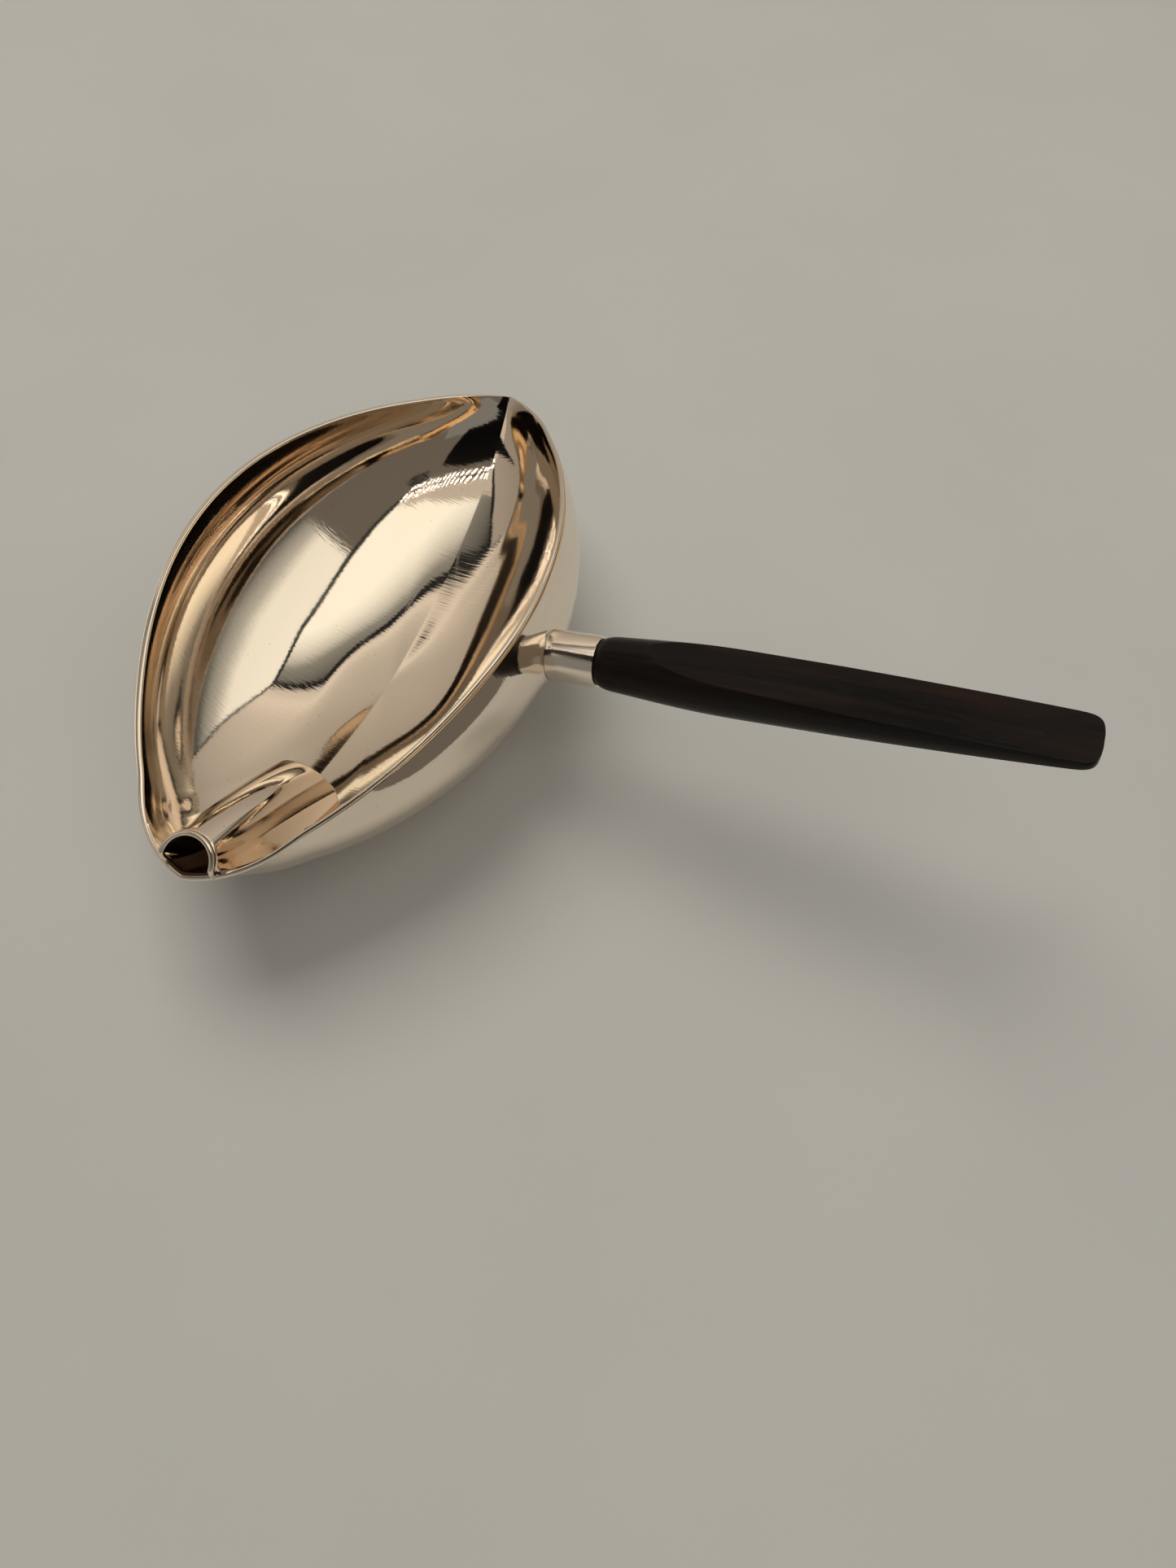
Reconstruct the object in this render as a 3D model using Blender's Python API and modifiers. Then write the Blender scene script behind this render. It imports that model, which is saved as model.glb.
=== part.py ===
"""Silver sauce boat with an open pouring lip, a covered tube spout and a wooden side handle.

Metres, +Z up. The handle points along +X, the open lip along +Y, the tube spout along -Y.
The origin is the middle of the flat base, on the floor.
"""

import math

import bmesh
import bpy
from mathutils import Matrix, Vector

MM = 0.001

# Plan and rim of the bowl, millimetres
HALF_LENGTH = 82.0
HALF_WIDTH = 41.35
PLAN_POWER = 1.6
PLAN_FULLNESS = (-0.059, 0.183)
RIM_HEIGHT = 50.0
RIM_FALL = (-18.55, 3.3)
SPOUT_LIP_START = 76.0
SPOUT_LIP_REACH = 8.5
SPOUT_LIP_WIDER = 0.2
POUR_LIP_WIDER = 0.1
LIP_TURN = 1.1
LIP_TURNS_FROM = 45.0
LIP_WIDENS_OVER = (64.0, 80.0)

# Wall below the rim, at mid-side and at the tips: Bezier points as shares of the rim's
# distance from the middle and of its height, down to the middle of the base
SIDE_PROFILE = (
    (1.0, 1.0),
    (1.17, 0.73),
    (1.43, 0.46),
    (0.52, 0.115),
    (0.65, 0.022),
    (0.36, 0.0),
    (0.0, 0.0),
)
TIP_PROFILE = (
    (1.0, 1.0),
    (0.93, 0.885),
    (0.91, 0.51),
    (0.58, 0.112),
    (0.255, 0.036),
    (0.105, 0.0),
    (0.0, 0.0),
)
TIP_BLEND = 2.13
BASE_FROM = 0.87
WALL = 1.1
AROUND = 80
RINGS = 16

# Rim wire
WIRE_RADIUS = 0.7
FIT_GAP = 0.3

# Covered spout: centre line from the mouth back to the inner opening
MOUTH_CENTRE = (-79.0, 38.7)
MOUTH_RADIUS = 6.15
MOUTH_LEAN = 56.0
INLET_CENTRE = (-40.0, 10.8)
INLET_RADIUS = (8.1, 9.1)
HOOD_WALL = 0.9
HOOD_STATIONS = 11
ARCH_STEPS = 18
LEG_LENGTH = 18.0
LEG_LEAN = 0.5
MOUTH_SETBACK = 1.25
MOUTH_WIRE_RADIUS = 0.6
MOUTH_WIRE_FEET = ((5.5, -79.1, 37.7), (5.15, -79.0, 36.5))
RIM_CLEAR = 0.3
RIM_SPREAD = 4.0

# Handle axis, and what sits on it
AXIS_X = 55.0
AXIS_Z = 38.5
HANDLE_TILT = 13.44
SOCKET_RADIUS = 5.9
SOCKET_BORE = 5.1
SOCKET_END = 3.5
TENON_RADIUS = 4.8
TENON_START = -7.5
GRIP_END = 108.4
PIN_RADIUS = 0.5
PIN_AT = -5.9
PIN_TURN = 24.0
ROUND_STEPS = 48

# Grip outline: distance along the axis, radius
GRIP_OUTLINE = (
    (3.8, 5.2),
    (3.8, 5.6),
    (4.1, 5.95),
    (4.8, 6.1),
    (8.2, 6.3),
    (11.3, 6.5),
    (15.5, 6.8),
    (20.6, 7.13),
    (25.8, 7.38),
    (31.0, 7.51),
    (36.0, 7.52),
    (46.3, 7.42),
    (56.6, 7.38),
    (66.9, 7.26),
    (77.2, 7.11),
    (87.5, 6.94),
    (97.8, 6.71),
    (105.2, 6.52),
    (106.8, 6.35),
    (107.6, 5.95),
    (108.0, 5.2),
    (108.2, 4.0),
    (108.35, 2.0),
)
FLAT_AT_30 = 5.08
FLAT_SLOPE = -0.0525
FLAT_CURL = 0.0036


def clear_scene():
    for obj in list(bpy.data.objects):
        bpy.data.objects.remove(obj, do_unlink=True)


def make_collection(name):
    collection = bpy.data.collections.new(name)
    bpy.context.scene.collection.children.link(collection)
    return collection


def make_material(name, colour, metallic, roughness):
    material = bpy.data.materials.new(name)
    material.use_nodes = True
    shader = material.node_tree.nodes["Principled BSDF"]
    shader.inputs["Base Color"].default_value = (*colour, 1.0)
    shader.inputs["Metallic"].default_value = metallic
    shader.inputs["Roughness"].default_value = roughness
    return material


def mesh_object(name, collection, bm, material=None, smooth=True):
    bmesh.ops.recalc_face_normals(bm, faces=bm.faces)
    mesh = bpy.data.meshes.new(name)
    bm.to_mesh(mesh)
    bm.free()
    if smooth:
        for polygon in mesh.polygons:
            polygon.use_smooth = True
    obj = bpy.data.objects.new(name, mesh)
    collection.objects.link(obj)
    if material is not None:
        mesh.materials.append(material)
    return obj


def make_helper(obj):
    obj.hide_render = True
    obj.display_type = "WIRE"


def add_boolean(obj, other, operation):
    modifier = obj.modifiers.new(operation.title(), "BOOLEAN")
    modifier.operation = operation
    modifier.solver = "EXACT"
    modifier.object = other


def rim_point(turn):
    """Outer edge of the bowl's rim, and its share of the way to the tip."""
    y = HALF_LENGTH * math.sin(turn)
    share = abs(y) / HALF_LENGTH
    side = math.copysign(abs(math.cos(turn)) ** PLAN_POWER, math.cos(turn))
    fullness = 1.0 + PLAN_FULLNESS[0] * share**2 + PLAN_FULLNESS[1] * share**4
    first, last = LIP_WIDENS_OVER
    near_tip = min(max((abs(y) - first) / (last - first), 0.0), 1.0)
    wider = SPOUT_LIP_WIDER if y < 0.0 else POUR_LIP_WIDER
    fullness *= 1.0 + wider * near_tip * near_tip * (3.0 - 2.0 * near_tip)
    if y < -SPOUT_LIP_START:
        beyond = (-y - SPOUT_LIP_START) / SPOUT_LIP_REACH
        y = -SPOUT_LIP_START - SPOUT_LIP_REACH * math.tanh(beyond)
    z = RIM_HEIGHT + RIM_FALL[0] * share**2 + RIM_FALL[1] * share**4
    turned = max(abs(y) - LIP_TURNS_FROM, 0.0) / (HALF_LENGTH - LIP_TURNS_FROM)
    x = HALF_WIDTH * side * fullness + math.copysign(LIP_TURN * turned**1.5, y)
    return Vector((x, y, z)), share


def mix(first, second, share):
    return first + (second - first) * share


def bezier(points, share):
    """Point of a Bezier curve, by repeated mixing of its neighbours."""
    points = [Vector(point) for point in points]
    while len(points) > 1:
        pairs = zip(points, points[1:])
        points = [first.lerp(second, share) for first, second in pairs]
    return points[0]


def hull_rings(drop):
    """Rings of points from the rim down to the flat base; drop lowers the top ring."""
    rings = []
    for level in range(RINGS + 1):
        ring = []
        for step in range(AROUND):
            rim, tip_share = rim_point(2.0 * math.pi * step / AROUND)
            blend = tip_share**TIP_BLEND
            first_fall = 1.0 - mix(SIDE_PROFILE[1][1], TIP_PROFILE[1][1], blend)
            steepness = (len(SIDE_PROFILE) - 1) * first_fall * rim.z
            along = mix(drop / steepness, BASE_FROM, level / RINGS)
            profile = bezier(SIDE_PROFILE, along).lerp(bezier(TIP_PROFILE, along), blend)
            z = rim.z * profile.y if level < RINGS else 0.0
            ring.append(Vector((rim.x * profile.x, rim.y * profile.x, z)))
        rings.append(ring)
    return rings


def loft(bm, rings):
    """Skin the rings, each closed on itself, and return the rows of vertices."""
    rows = [[bm.verts.new(point * MM) for point in ring] for ring in rings]
    for upper, lower in zip(rows, rows[1:]):
        count = len(upper)
        for i in range(count):
            j = (i + 1) % count
            bm.faces.new((upper[i], lower[i], lower[j], upper[j]))
    return rows


def hull_surface(drop):
    bm = bmesh.new()
    rows = loft(bm, hull_rings(drop))
    bm.faces.new(rows[-1])
    return bm, rows


def displaced_hull(name, helpers, distance):
    """The space inside the hull's outer surface moved by distance, open above the rim."""
    bm, rows = hull_surface(0.0)
    bmesh.ops.recalc_face_normals(bm, faces=bm.faces)
    bm.normal_update()
    if sum(vert.normal.z for vert in rows[-1]) > 0.0:
        bmesh.ops.reverse_faces(bm, faces=bm.faces)
        bm.normal_update()
    moves = [(vert, vert.normal.copy()) for vert in bm.verts]
    for vert, normal in moves:
        vert.co += normal * distance * MM
    for vert in rows[-1]:
        vert.co.z = -distance * MM
    rise = Vector((0.0, 0.0, RIM_CLEAR * MM))
    rims = [rows[0], [bm.verts.new(vert.co + rise) for vert in rows[0]]]
    rims.append([])
    for vert, (_, normal) in zip(rims[1], moves):
        out = Vector((normal.x, normal.y, 0.0)).normalized() * RIM_SPREAD * MM
        rims[2].append(bm.verts.new(vert.co + out))
    rims.append([bm.verts.new((vert.co.x, vert.co.y, 90.0 * MM)) for vert in rims[2]])
    for lower, upper in zip(rims, rims[1:]):
        for i in range(AROUND):
            j = (i + 1) % AROUND
            bm.faces.new((upper[i], lower[i], lower[j], upper[j]))
    bm.faces.new(rims[-1])
    obj = mesh_object(name, helpers, bm)
    make_helper(obj)
    return obj


def bowl_shell(collection, silver):
    bm, rows = hull_surface(2.0 * WIRE_RADIUS + FIT_GAP)
    obj = mesh_object("bowl_shell", collection, bm, silver)
    if sum(polygon.normal.z * polygon.area for polygon in obj.data.polygons) > 0.0:
        obj.data.flip_normals()
    solid = obj.modifiers.new("Wall", "SOLIDIFY")
    solid.thickness = WALL * MM
    solid.offset = -1.0
    solid.use_even_offset = True
    return obj


def wire(name, collection, material, points, radius, cyclic):
    curve = bpy.data.curves.new(name, "CURVE")
    curve.dimensions = "3D"
    curve.twist_mode = "MINIMUM"
    curve.bevel_depth = radius * MM
    curve.bevel_resolution = 2
    curve.use_fill_caps = not cyclic
    spline = curve.splines.new("POLY")
    spline.points.add(len(points) - 1)
    for target, point in zip(spline.points, points):
        target.co = (point.x * MM, point.y * MM, point.z * MM, 1.0)
    spline.use_cyclic_u = cyclic
    spline.use_smooth = True
    obj = bpy.data.objects.new(name, curve)
    curve.materials.append(material)
    collection.objects.link(obj)
    return obj


def rim_wire(collection, silver):
    points = []
    for step in range(AROUND):
        turn = 2.0 * math.pi * step / AROUND
        rim, _ = rim_point(turn)
        before, _ = rim_point(turn - 0.02)
        after, _ = rim_point(turn + 0.02)
        along = after - before
        inward = Vector((-along.y, along.x, 0.0)).normalized()
        points.append(rim + inward * 0.5 * WALL - Vector((0.0, 0.0, WIRE_RADIUS)))
    return wire("rim_wire", collection, silver, points, WIRE_RADIUS, True)


def arch_section(share, thin):
    """Inverted U across the spout; share runs from the mouth to the inlet."""
    lean = math.radians(mix(MOUTH_LEAN, 0.0, share))
    back = mix(MOUTH_SETBACK, 0.0, share)
    y = mix(MOUTH_CENTRE[0], INLET_CENTRE[0], share) + back * math.cos(lean)
    z = mix(MOUTH_CENTRE[1], INLET_CENTRE[1], share) - back * math.sin(lean)
    across = mix(MOUTH_RADIUS, INLET_RADIUS[0], share) - thin
    above = mix(MOUTH_RADIUS, INLET_RADIUS[1], share) - thin
    foot_y = y + LEG_LENGTH * LEG_LEAN * (1.0 - share)
    section = [Vector((across, foot_y, z - LEG_LENGTH))]
    for step in range(ARCH_STEPS + 1):
        angle = math.pi * step / ARCH_STEPS
        v = above * math.sin(angle)
        point = (across * math.cos(angle), y + v * math.sin(lean), z + v * math.cos(lean))
        section.append(Vector(point))
    section.append(Vector((-across, foot_y, z - LEG_LENGTH)))
    return section


def spout_hood(collection, helpers, silver):
    rings = []
    for station in range(HOOD_STATIONS):
        share = station / (HOOD_STATIONS - 1)
        outer = arch_section(share, 0.0)
        inner = arch_section(share, HOOD_WALL)
        rings.append(outer + inner[::-1])
    bm = bmesh.new()
    rows = loft(bm, rings)
    bm.faces.new(rows[0])
    bm.faces.new(rows[-1])
    obj = mesh_object("spout_hood", collection, bm, silver)
    inside = displaced_hull("bowl_inside", helpers, -(WALL + FIT_GAP))
    add_boolean(obj, inside, "INTERSECT")
    return obj


def mouth_wire(collection, silver):
    lean = math.radians(MOUTH_LEAN)
    radius = MOUTH_RADIUS - MOUTH_WIRE_RADIUS
    near = [Vector(foot) for foot in MOUTH_WIRE_FEET]
    points = near[::-1]
    steps = 18
    for step in range(steps + 1):
        angle = math.pi * step / steps
        u = radius * math.cos(angle)
        v = radius * math.sin(angle)
        y = MOUTH_CENTRE[0] + v * math.sin(lean)
        z = MOUTH_CENTRE[1] + v * math.cos(lean)
        points.append(Vector((u, y, z)))
    points += [Vector((-foot.x, foot.y, foot.z)) for foot in near]
    return wire("spout_mouth_wire", collection, silver, points, MOUTH_WIRE_RADIUS, False)


def axis_frame():
    """Local +Z runs out along the handle, local +X is its upper side."""
    tilt = math.radians(HANDLE_TILT)
    along = Vector((math.cos(tilt), 0.0, math.sin(tilt)))
    upper = Vector((-math.sin(tilt), 0.0, math.cos(tilt)))
    side = along.cross(upper)
    frame = Matrix((upper, side, along)).transposed().to_4x4()
    frame.translation = Vector((AXIS_X, 0.0, AXIS_Z)) * MM
    return frame


def revolve(name, collection, material, outline):
    """Turn (distance, radius) pairs about the handle's axis with a Screw modifier."""
    bm = bmesh.new()
    verts = [bm.verts.new((radius * MM, 0.0, along * MM)) for along, radius in outline]
    for first, second in zip(verts, verts[1:]):
        bm.edges.new((first, second))
    mesh = bpy.data.meshes.new(name)
    bm.to_mesh(mesh)
    bm.free()
    obj = bpy.data.objects.new(name, mesh)
    collection.objects.link(obj)
    if material is not None:
        mesh.materials.append(material)
    obj.matrix_world = axis_frame()
    screw = obj.modifiers.new("Turn", "SCREW")
    screw.steps = ROUND_STEPS
    screw.render_steps = ROUND_STEPS
    screw.use_merge_vertices = True
    screw.merge_threshold = 0.00001
    screw.use_normal_calculate = True
    screw.use_smooth_shade = True
    return obj


def pin_solid(name, collection, material, radius, half_length):
    bm = bmesh.new()
    bmesh.ops.create_cone(
        bm,
        cap_ends=True,
        segments=20,
        radius1=radius * MM,
        radius2=radius * MM,
        depth=2.0 * half_length * MM,
    )
    lie = Matrix.Rotation(math.radians(90.0), 4, "Y")
    turned = Matrix.Rotation(math.radians(PIN_TURN), 4, "Z") @ lie
    place = Matrix.Translation((0.0, 0.0, PIN_AT * MM)) @ turned
    bmesh.ops.transform(bm, matrix=place, verts=bm.verts)
    obj = mesh_object(name, collection, bm, material)
    obj.matrix_world = axis_frame()
    return obj


def handle_socket(collection, helpers, silver):
    outline = (
        (-26.0, SOCKET_BORE),
        (-26.0, SOCKET_RADIUS),
        (SOCKET_END - 0.2, SOCKET_RADIUS),
        (SOCKET_END, SOCKET_RADIUS - 0.2),
        (SOCKET_END, SOCKET_BORE),
        (-26.0, SOCKET_BORE),
    )
    obj = revolve("handle_socket", collection, silver, outline)
    hull = displaced_hull("bowl_outside", helpers, FIT_GAP)
    add_boolean(obj, hull, "DIFFERENCE")
    drill = pin_solid("pin_drill", helpers, None, PIN_RADIUS + FIT_GAP, 12.0)
    make_helper(drill)
    add_boolean(obj, drill, "DIFFERENCE")
    return obj


def flat_height(along):
    height = FLAT_AT_30 + FLAT_SLOPE * (along - 31.0)
    if along < 31.0:
        height += FLAT_CURL * (31.0 - along) ** 2
    return height


def flat_cutter(name, helpers, side):
    """Block whose inner face is the long flat on one side of the grip."""
    stations = [8.0 + 2.5 * i for i in range(11)] + [40.0, 70.0, 100.0, 125.0]
    lower = [(side * flat_height(along), along) for along in stations]
    outer = [(side * 30.0, 125.0), (side * 30.0, 8.0)]
    bm = bmesh.new()
    rows = []
    for y in (-20.0, 20.0):
        rows.append([bm.verts.new((x * MM, y * MM, z * MM)) for x, z in lower + outer])
        bm.faces.new(rows[-1])
    count = len(rows[0])
    for i in range(count):
        j = (i + 1) % count
        bm.faces.new((rows[0][i], rows[0][j], rows[1][j], rows[1][i]))
    obj = mesh_object(name, helpers, bm, smooth=False)
    obj.matrix_world = axis_frame()
    make_helper(obj)
    return obj


def handle_grip(collection, helpers, wood):
    tenon = (
        (TENON_START, 0.0),
        (TENON_START, TENON_RADIUS - 0.4),
        (TENON_START + 0.4, TENON_RADIUS),
        (GRIP_OUTLINE[0][0], TENON_RADIUS),
    )
    obj = revolve("handle_grip", collection, wood, tenon + GRIP_OUTLINE + ((GRIP_END, 0.0),))
    add_boolean(obj, flat_cutter("flat_above", helpers, 1.0), "DIFFERENCE")
    add_boolean(obj, flat_cutter("flat_below", helpers, -1.0), "DIFFERENCE")
    drill = pin_solid("tenon_drill", helpers, None, PIN_RADIUS + FIT_GAP, 12.0)
    make_helper(drill)
    add_boolean(obj, drill, "DIFFERENCE")
    return obj


def build():
    clear_scene()
    parts = make_collection("sauce_boat")
    helpers = make_collection("helpers")
    helpers.hide_render = True
    bowl_silver = make_material("bowl_silver", (0.93, 0.89, 0.82), 1.0, 0.08)
    wire_silver = make_material("wire_silver", (0.94, 0.91, 0.86), 1.0, 0.12)
    hood_silver = make_material("hood_silver", (0.92, 0.88, 0.8), 1.0, 0.06)
    edge_silver = make_material("edge_silver", (0.94, 0.91, 0.86), 1.0, 0.14)
    socket_silver = make_material("socket_silver", (0.92, 0.9, 0.86), 1.0, 0.1)
    pin_silver = make_material("pin_silver", (0.88, 0.85, 0.8), 1.0, 0.25)
    dark_wood = make_material("dark_wood", (0.035, 0.016, 0.01), 0.0, 0.42)
    bowl_shell(parts, bowl_silver)
    rim_wire(parts, wire_silver)
    spout_hood(parts, helpers, hood_silver)
    mouth_wire(parts, edge_silver)
    handle_socket(parts, helpers, socket_silver)
    handle_grip(parts, helpers, dark_wood)
    pin_solid("handle_pin", parts, pin_silver, PIN_RADIUS, SOCKET_RADIUS + 0.05)


build()
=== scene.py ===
"""Silver sauce boat: its finished pieces, their materials and a stage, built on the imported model.

Metres, +Z up. The handle points along +X, the open lip along +Y, the tube spout along -Y.
"""

import math

import bpy
import numpy as np
from mathutils import Euler, Matrix, Vector


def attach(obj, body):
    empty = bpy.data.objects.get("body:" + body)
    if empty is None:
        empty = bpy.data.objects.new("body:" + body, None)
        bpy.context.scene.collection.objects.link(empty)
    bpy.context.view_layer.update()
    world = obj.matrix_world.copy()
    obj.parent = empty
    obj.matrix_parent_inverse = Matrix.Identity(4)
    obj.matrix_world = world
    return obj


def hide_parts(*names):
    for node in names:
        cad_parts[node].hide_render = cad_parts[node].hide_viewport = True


bl_info = {
    "name": "Silver Sauce Boat",
    "version": (1, 0, 0),
    "blender": (4, 5, 0),
    "location": "3D View > Sidebar > Sauce Boat",
    "description": "Builds a side-handled silver sauce boat piece by piece",
    "category": "Add Mesh",
}

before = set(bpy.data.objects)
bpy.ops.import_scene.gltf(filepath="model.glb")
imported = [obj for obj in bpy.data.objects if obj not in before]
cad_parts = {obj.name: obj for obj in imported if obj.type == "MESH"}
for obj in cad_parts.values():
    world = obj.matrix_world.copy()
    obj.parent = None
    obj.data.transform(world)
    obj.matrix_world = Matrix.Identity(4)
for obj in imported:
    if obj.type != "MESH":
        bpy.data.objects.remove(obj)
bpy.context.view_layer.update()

BODY = "root"
MM = 0.001

# Outline of the rim seen from above, and its height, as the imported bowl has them, in millimetres
HALF_LENGTH = 82.0
HALF_WIDTH = 41.35
PLAN_POWER = 1.6
PLAN_FULLNESS = (-0.059, 0.183)
RIM_HEIGHT = 50.0
RIM_FALL = (-18.55, 3.3)
SPOUT_LIP_START = 76.0
SPOUT_LIP_REACH = 8.5
SPOUT_LIP_WIDER = 0.2
POUR_LIP_WIDER = 0.1
LIP_TURN = 1.1
LIP_TURNS_FROM = 45.0
LIP_WIDENS_OVER = (64.0, 80.0)

# Wall of the bowl from the rim to the middle of the base, at mid-side and at the tips, as shares
# of the rim's distance from the middle and of its height
SIDE_PROFILE = (
    (1.0, 1.0),
    (1.17, 0.73),
    (1.43, 0.46),
    (0.52, 0.115),
    (0.65, 0.022),
    (0.36, 0.0),
    (0.0, 0.0),
)
TIP_PROFILE = (
    (1.0, 1.0),
    (0.93, 0.885),
    (0.91, 0.51),
    (0.58, 0.112),
    (0.255, 0.036),
    (0.105, 0.0),
    (0.0, 0.0),
)
TIP_BLEND = 2.13
BASE_FLAT = (0.72, 0.87)
OUTSIDE_ROWS = 64
INSIDE_ROWS = 120

# How the wall's slope is found, and where the two sides meet in a crease at the tips
SLOPE_STEP = 0.0005
SLOPE_END = 0.998
UNDER_RIM = 0.004
CREASE_POWER = 8

# Covered spout
MOUTH_CENTRE = (-79.0, 38.7)
MOUTH_RADIUS = 6.15
MOUTH_LEAN = 56.0
MOUTH_SETBACK = 0.5
INLET_CENTRE = (-40.0, 10.8)
INLET_RADIUS = (8.1, 9.1)
LEG_LENGTH = 18.0
LEG_LEAN = 0.5
MOUTH_FEET = ((5.55, -79.1, 37.6), (5.3, -78.9, 36.4), (5.2, -78.6, 35.2))
HOOD_STEPS = 60
HOOD_EDGE = 0.00015
# Stretch of the covered spout whose lining is darkened as painted shade, as shares of the way from
# mouth to inlet, and how far inside each face, in mm, the test point lies
TUBE_SHADE_FROM = -0.05
TUBE_SHADE_TO = 0.75
TUBE_SHADE_DEPTH = 0.4

# Closed form that the hood is cut to: rows up the bowl's wall, then out past the rim and over it
TRIM_ROWS = 80
TRIM_LEDGE = 4.0
TRIM_STEP = (0.0, 0.0, 0.3)
TRIM_LID = (0.0, 0.0, 80.0)

# Handle axis and its pieces; an outline is (distance out along the axis, radius)
AXIS_X = 55.0
AXIS_Z = 38.5
HANDLE_TILT = 13.44
SEAM_AT = -8.4
SOCKET_RADIUS = 5.9
SOCKET_BORE = 5.15
SOCKET_END = 3.5
SOCKET_OUTLINE = (
    (SEAM_AT + 0.4, SOCKET_BORE),
    (SEAM_AT + 0.02, SOCKET_BORE),
    (SEAM_AT + 0.02, SOCKET_RADIUS - 0.12),
    (SEAM_AT + 0.16, SOCKET_RADIUS),
    (SOCKET_END - 0.3, SOCKET_RADIUS),
    (SOCKET_END - 0.08, SOCKET_RADIUS - 0.06),
    (SOCKET_END, SOCKET_RADIUS - 0.2),
    (SOCKET_END, SOCKET_BORE),
    (SEAM_AT + 0.4, SOCKET_BORE),
)
SOCKET_SIDES = 128
NECK_ROWS = 20
NECK_SPREAD = (3.2, 6.6)
NECK_SINK = 0.12
PIN_AT = -7.4
PIN_TURN = 24.0
PIN_OUTLINE = ((-0.4, 0.0), (-0.4, 0.5), (0.0, 0.5), (0.05, 0.35), (0.05, 0.0))
PIN_SIDES = 24
GRIP_OUTLINE = (
    (3.2, 5.0),
    (3.55, 5.2),
    (3.65, 5.6),
    (4.1, 5.95),
    (4.8, 6.1),
    (8.2, 6.3),
    (11.3, 6.5),
    (15.5, 6.8),
    (20.6, 7.13),
    (25.8, 7.38),
    (31.0, 7.51),
    (36.0, 7.52),
    (46.3, 7.42),
    (56.6, 7.38),
    (66.9, 7.26),
    (77.2, 7.11),
    (87.5, 6.94),
    (97.8, 6.71),
    (105.2, 6.52),
    (106.8, 6.35),
    (107.6, 5.95),
    (108.0, 5.2),
    (108.2, 4.0),
    (108.35, 2.0),
)
GRIP_SPACING = 0.7
SMOOTHING_PASSES = 10
FLAT_POINTS = 25
ROUND_POINTS = 49
FLAT_FROM = 31.0
FLAT_HEIGHT = 5.08
FLAT_SLOPE = -0.0525
FLAT_CURL = 0.0036
FLAT_LIMIT = 0.9995

WIRE_SIDES = 16
ARCH_POINTS = 49
MERGE_WITHIN = 0.000002
NO_LENGTH = 1e-12

# Finishes of the silver: roughness, how far it varies, polishing marks, waves and warm patches
POLISH_INPUTS = ("Roughness", "Variation", "Marks", "Waves")
FINISHES = {
    "bowl_silver_look": (0.055, 0.08, 0.6, 1.0, 0.25),
    "rim_silver_look": (0.12, 0.08, 0.4, 0.4, 0.15),
    "hood_silver_look": (0.045, 0.04, 0.15, 0.5, 0.2),
    "mouth_silver_look": (0.13, 0.05, 0.3, 0.3, 0.1),
    "socket_silver_look": (0.16, 0.1, 0.8, 0.6, 0.3),
    "pin_silver_look": (0.3, 0.1, 0.5, 0.5, 0.6),
    # Finish of the spout's lining, which is darkened to paint the shade inside the tube
    "tube_painted_shade_look": (0.3, 0.1, 0.8, 0.5, 0.6),
}
# Dark colour of the spout's lining: painted shade inside the tube
TUBE_SHADE_TINT = (0.13, 0.08, 0.045)
WARMER = (0.94, 0.88, 0.76)
SPECKS = 0.35
MARK_DEPTH = 0.00001
BRUSH_STROKES = ((25.0, 900.0), (-38.0, 1500.0), (80.0, 2300.0))
BRUSH_LEAN = (0.4, 0.3)
BRUSH_STRETCH = (0.03, 1.0, 0.4)
WAVE_SCALE = 55.0
RIPPLE_SCALE = 210.0
RIPPLE_STRETCH = (1.0, 0.12, 1.0)
RIPPLE_SHARE = 0.8
CLOUD_SCALE = 32.0
LEAST_ROUGHNESS = 0.015
PATCH_SCALE = 24.0
PATCH_EDGE = (0.45, 0.75)
SPECK_SCALE = 260.0
SPECK_EDGE = (0.07, 0.03)
SPECK_COLOUR = (0.25, 0.19, 0.13, 1.0)

# Wood: its streaks and pores run along the grip
BAND_STRETCH = (5.0, 120.0, 120.0)
PORE_STRETCH = (130.0, 2600.0, 2600.0)
PORE_EDGE = (0.38, 0.3)
PORE_DEPTH = 0.00004
PORE_COLOUR = (0.004, 0.003, 0.002, 1.0)
WOOD_ROUGHNESS = (0.26, 0.4)
WOOD_IOR = 1.26

# Paper under the boat
MOTTLE_SCALE = 9.0
MOTTLE_SHADE = 0.95
PAPER_ROUGHNESS = 0.9

# Tent that the silver reflects, in metres: the edge of its ceiling seen from above, from the front
# right corner, and the side of that edge where each wall begins
CEILING_HEIGHT = 0.4
CEILING_EDGE = (
    (0.207, -0.089),
    (0.264, 0.053),
    (0.295, 0.243),
    (0.24, 0.49),
    (-0.031, 0.281),
    (-0.064, 0.174),
    (-0.117, 0.1),
    (-0.17, 0.077),
    (-0.348, 0.056),
    (-0.289, 0.001),
    (-0.29, -0.048),
    (-0.279, -0.146),
)
WALLS_FROM = {"right": 0, "back": 3, "left": 8, "front": 11}
LEANING_FOOT = (0.13, 0.57)
FLOOR_GAP = 0.002
FRONT_EDGE = -0.45
FRONT_SPREAD = (-0.5, 0.6)
FRONT_RIGHT_END = (0.5, FRONT_EDGE)

# Level sheets of the tent: left, front, right and back sides, and how far each layer is from the
# ceiling's height, so that no two lie in one plane
CEILING_SIDES = (-0.5, -0.2, 0.5, 0.8)
FRONT_SIDES = (-0.4, -0.2, 0.4, -0.048)
LEFT_FRONT_SIDES = (-0.7, FRONT_EDGE, -0.24, -0.14)
LAYERS = {
    "ceiling": 0.004,
    "front": 0.002,
    "seams": -0.004,
    "walls": -0.006,
    "left_front": -0.01,
    "lamps": -0.014,
}

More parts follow.
